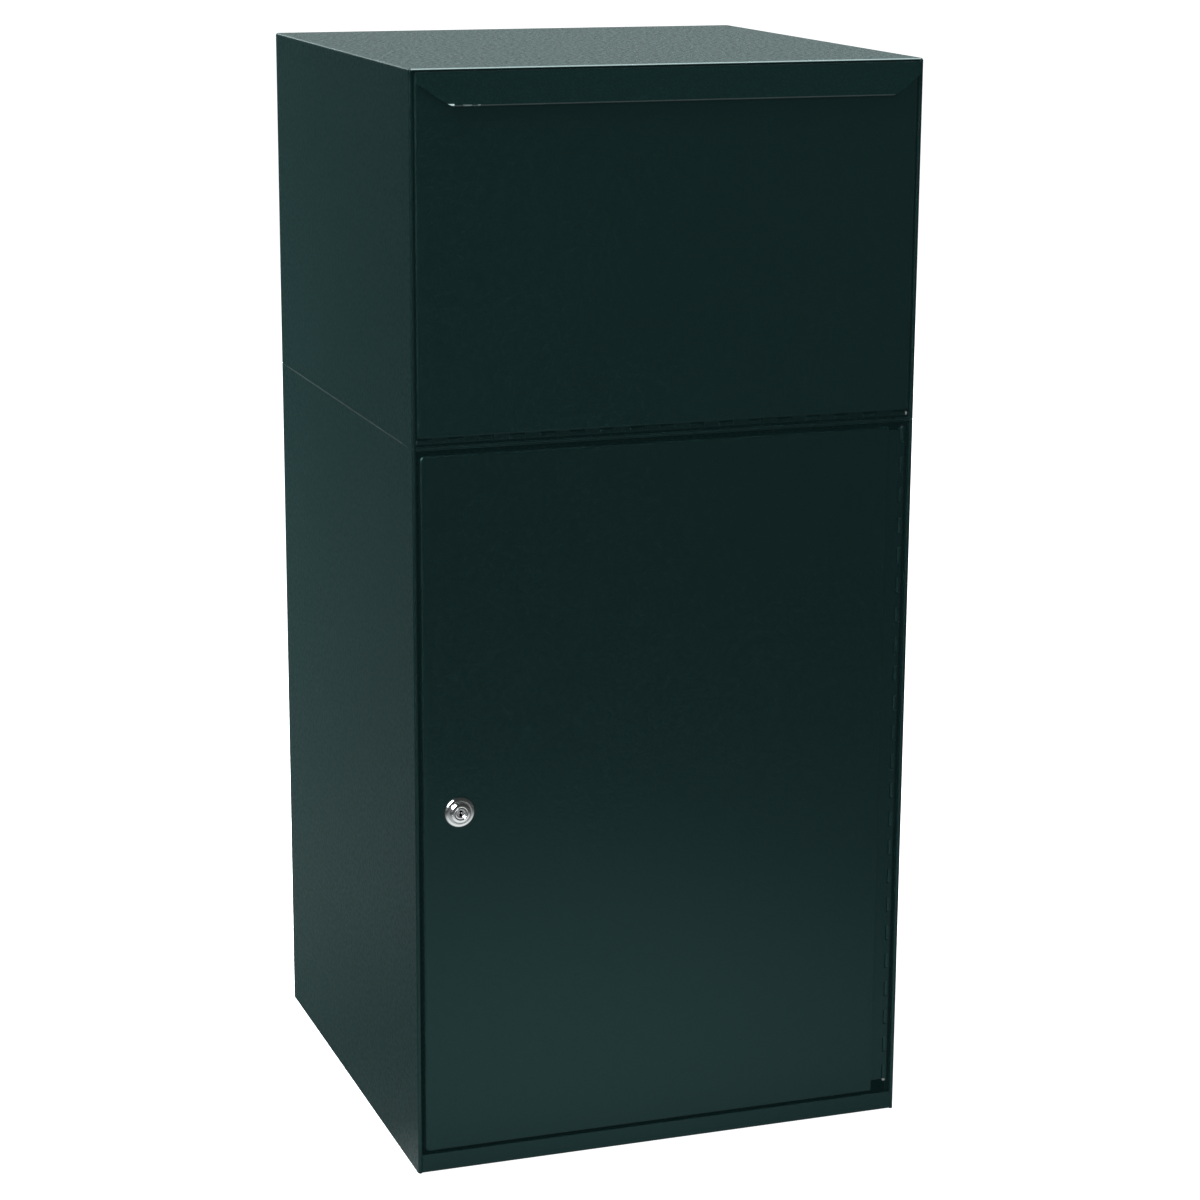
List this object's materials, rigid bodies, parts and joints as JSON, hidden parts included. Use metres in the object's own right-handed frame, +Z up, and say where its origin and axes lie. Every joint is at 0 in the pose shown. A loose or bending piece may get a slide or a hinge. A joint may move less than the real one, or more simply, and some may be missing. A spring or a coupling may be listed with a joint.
{
  "type": "key drop box",
  "caption": "Floor-standing steel drop box with a tip-out hopper at the top and a hinged, cam-locked collection door below.",
  "frame": {"origin": "on the ground, under the middle of the overall box, with the reach of the hopper's pull counted in the depth", "axes": "+Z up, +X to the right seen from the front, and the front faces -Y"},
  "size_m": [0.434, 0.4468, 0.9144],
  "materials": {
    "powder_coat": "satin green-black powder coat with fine orange peel",
    "chrome": "polished chrome plate",
    "zinc_steel": "bright zinc plate",
    "rubber": "matte black"
  },
  "bodies": {
    "cabinet": {"base_shell": "powder_coat", "floor_pan": "powder_coat", "base_header": "powder_coat", "latch_jamb": "powder_coat", "hinge_jamb": "powder_coat", "head_shell": "powder_coat", "roof_panel": "powder_coat", "head_sill": "powder_coat", "hopper_stop": "powder_coat", "hopper_baffle": "powder_coat", "hopper_hinge_sill_leaf": "powder_coat", "door_hinge_jamb_leaf": "powder_coat", "head_bolts": "zinc_steel", "head_nuts": "zinc_steel", "hopper_hinge_pin": "zinc_steel", "door_hinge_pin": "zinc_steel", "hopper_bumpers": "rubber", "door_bumpers": "rubber"},
    "hopper": {"hopper_door": "powder_coat", "hopper_pull": "powder_coat", "hopper_cheek_left": "powder_coat", "hopper_cheek_right": "powder_coat", "hopper_tray": "powder_coat", "hopper_hinge_door_leaf": "powder_coat"},
    "service_door": {"service_door": "powder_coat", "door_hinge_door_leaf": "powder_coat", "lock_housing": "chrome", "lock_nut": "zinc_steel"},
    "lock": {"lock_plug": "chrome", "lock_cam": "zinc_steel", "cam_screw": "zinc_steel"}
  },
  "joints": [
    {"name": "hopper_tip", "type": "hinge", "parent": "cabinet", "child": "hopper", "pos_m": [0, -0.2038, 0.6216], "axis": [1, 0, 0], "range_deg": [0, 42]},
    {"name": "service_door_swing", "type": "hinge", "parent": "cabinet", "child": "service_door", "pos_m": [0.209, -0.2038, 0.3182], "axis": [0, 0, 1], "range_deg": [0, 100]},
    {"name": "lock_turn", "type": "hinge", "parent": "service_door", "child": "lock", "pos_m": [-0.1796, -0.2084, 0.3136], "axis": [0, 1, 0], "range_deg": [0, 90]}
  ]
}
